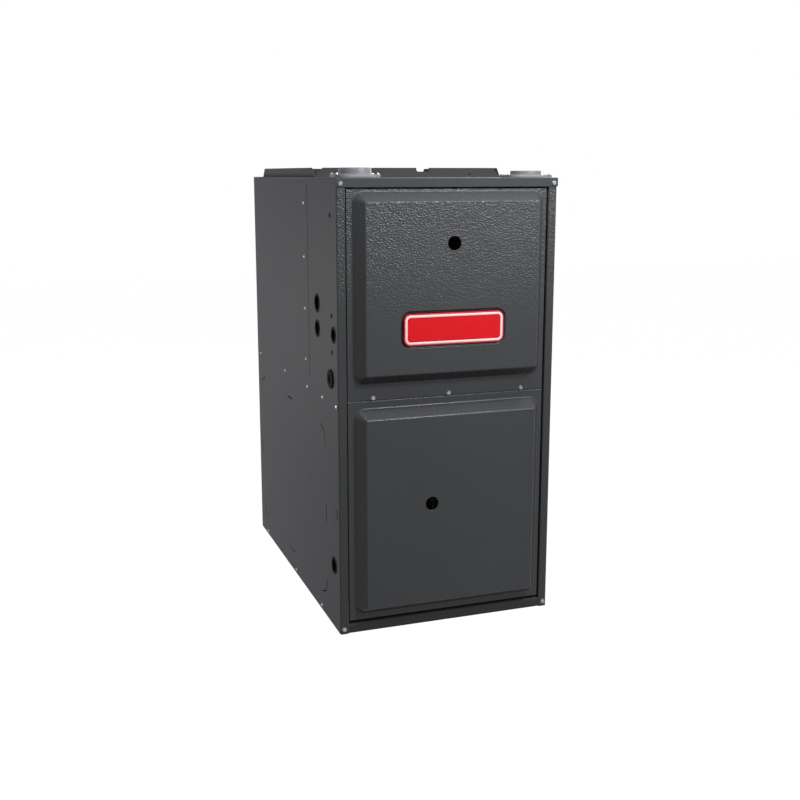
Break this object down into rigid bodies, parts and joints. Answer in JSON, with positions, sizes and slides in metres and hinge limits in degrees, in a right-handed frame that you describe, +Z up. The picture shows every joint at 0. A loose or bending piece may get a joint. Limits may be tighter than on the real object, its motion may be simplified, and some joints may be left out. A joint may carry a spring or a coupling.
{
  "type": "forced air gas furnace",
  "caption": "Upright condensing gas furnace with embossed bevelled doors, side knock-outs, top duct flanges and vent collars, and a full burner, exchanger and blower inside.",
  "frame": {"origin": "middle of the cabinet's footprint, on the underside of the base pan", "axes": "+X to the right seen from the front, +Y to the back, +Z up"},
  "size_m": [0.4486, 0.7387, 0.9017],
  "materials": {
    "cabinet_paint": "smooth satin baked enamel, charcoal grey",
    "embossed_door": "leather grain embossed baked enamel, charcoal grey",
    "galvanised_steel": "galvanised, matt with faint spangle",
    "zinc_plate": "bright zinc plate",
    "foil_board": "fibre board with a satin foil face",
    "red_badge": "gloss red with a pale raised rim",
    "grey_vent_plastic": "smooth grey moulded plastic",
    "black_rubber": "matt",
    "black_iron_pipe": "black iron pipe, lightly oiled",
    "aluminium_casting": "die cast, blasted",
    "red_plastic": "semi gloss",
    "ceramic": "unglazed ceramic",
    "stainless_steel": "mill finish",
    "black_plastic": "moulded, fine texture",
    "aluminised_steel": "aluminised, dull",
    "motor_enamel": "semi gloss enamel",
    "ivory_plastic": "moulded",
    "grey_plastic": "extruded tube",
    "green_board": "solder mask over fibre board"
  },
  "bodies": {
    "cabinet": {"cabinet_wrap": "cabinet_paint", "top_panel": "cabinet_paint", "base_pan": "cabinet_paint", "blower_deck": "galvanised_steel", "vestibule_panel": "galvanised_steel", "liner_board": "foil_board", "corner_screw_top_left": "zinc_plate", "corner_screw_top_right": "zinc_plate", "corner_screw_bottom_left": "zinc_plate", "corner_screw_bottom_right": "zinc_plate", "vent_collar": "grey_vent_plastic", "intake_collar": "grey_vent_plastic", "vent_pipe": "grey_vent_plastic", "vent_coupling": "black_rubber", "burner_tray": "galvanised_steel", "burner_1": "aluminised_steel", "burner_2": "aluminised_steel", "burner_3": "aluminised_steel", "burner_4": "aluminised_steel", "gas_manifold": "black_iron_pipe", "gas_valve": "aluminium_casting", "igniter": "ceramic", "flame_sensor": "stainless_steel", "rollout_switch": "black_plastic", "primary_tube_1": "aluminised_steel", "primary_tube_2": "aluminised_steel", "primary_tube_3": "aluminised_steel", "primary_tube_4": "aluminised_steel", "rear_header": "aluminised_steel", "secondary_coil": "stainless_steel", "collector_box": "black_plastic", "inducer_housing": "black_plastic", "inducer_motor": "motor_enamel", "pressure_switch_left": "ivory_plastic", "pressure_switch_right": "ivory_plastic", "pressure_hose_left": "black_rubber", "pressure_hose_right": "black_rubber", "condensate_trap": "black_plastic", "drain_tube": "grey_plastic", "drain_grommet": "black_rubber", "blower_housing": "galvanised_steel", "blower_motor": "motor_enamel", "motor_bracket": "zinc_plate", "control_bracket": "galvanised_steel", "control_board": "green_board", "transformer": "motor_enamel", "door_switch": "black_plastic", "junction_box": "galvanised_steel"},
    "upper_door": {"upper_door": "embossed_door", "badge_plate": "red_badge", "door_screw_left": "zinc_plate", "door_screw_centre": "zinc_plate", "door_screw_right": "zinc_plate"},
    "lower_door": {"lower_door": "embossed_door"},
    "blower_wheel": {"blower_wheel": "galvanised_steel"},
    "inducer_rotor": {"inducer_wheel": "black_plastic", "inducer_cooling_fan": "ivory_plastic"},
    "gas_valve_lever": {"gas_valve_lever": "red_plastic"},
    "rollout_reset_button": {"rollout_reset_button": "red_plastic"},
    "door_switch_plunger": {"door_switch_plunger": "ivory_plastic"}
  },
  "joints": [
    {"name": "upper_door_off", "type": "slide", "parent": "cabinet", "child": "upper_door", "axis": [0, -1, 0], "range_m": [0, 0.1]},
    {"name": "lower_door_off", "type": "slide", "parent": "cabinet", "child": "lower_door", "axis": [0, -1, 0], "range_m": [0, 0.1]},
    {"name": "blower_spin", "type": "hinge", "parent": "cabinet", "child": "blower_wheel", "pos_m": [0, 0.04, 0.215], "axis": [1, 0, 0], "continuous": true},
    {"name": "inducer_spin", "type": "hinge", "parent": "cabinet", "child": "inducer_rotor", "pos_m": [-0.07, -0.2, 0.555], "axis": [0, 1, 0], "continuous": true},
    {"name": "gas_valve_switch", "type": "hinge", "parent": "cabinet", "child": "gas_valve_lever", "pos_m": [0.18225, -0.246, 0.635], "axis": [0, 1, 0], "range_deg": [0, 60]},
    {"name": "rollout_reset", "type": "slide", "parent": "cabinet", "child": "rollout_reset_button", "axis": [-1, 0, 0], "range_m": [0, 0.002], "stiffness_N_per_m": 800, "springref_m": -0.001},
    {"name": "door_switch_press", "type": "slide", "parent": "cabinet", "child": "door_switch_plunger", "axis": [0, 1, 0], "range_m": [0, 0.003], "stiffness_N_per_m": 600, "springref_m": -0.001}
  ]
}
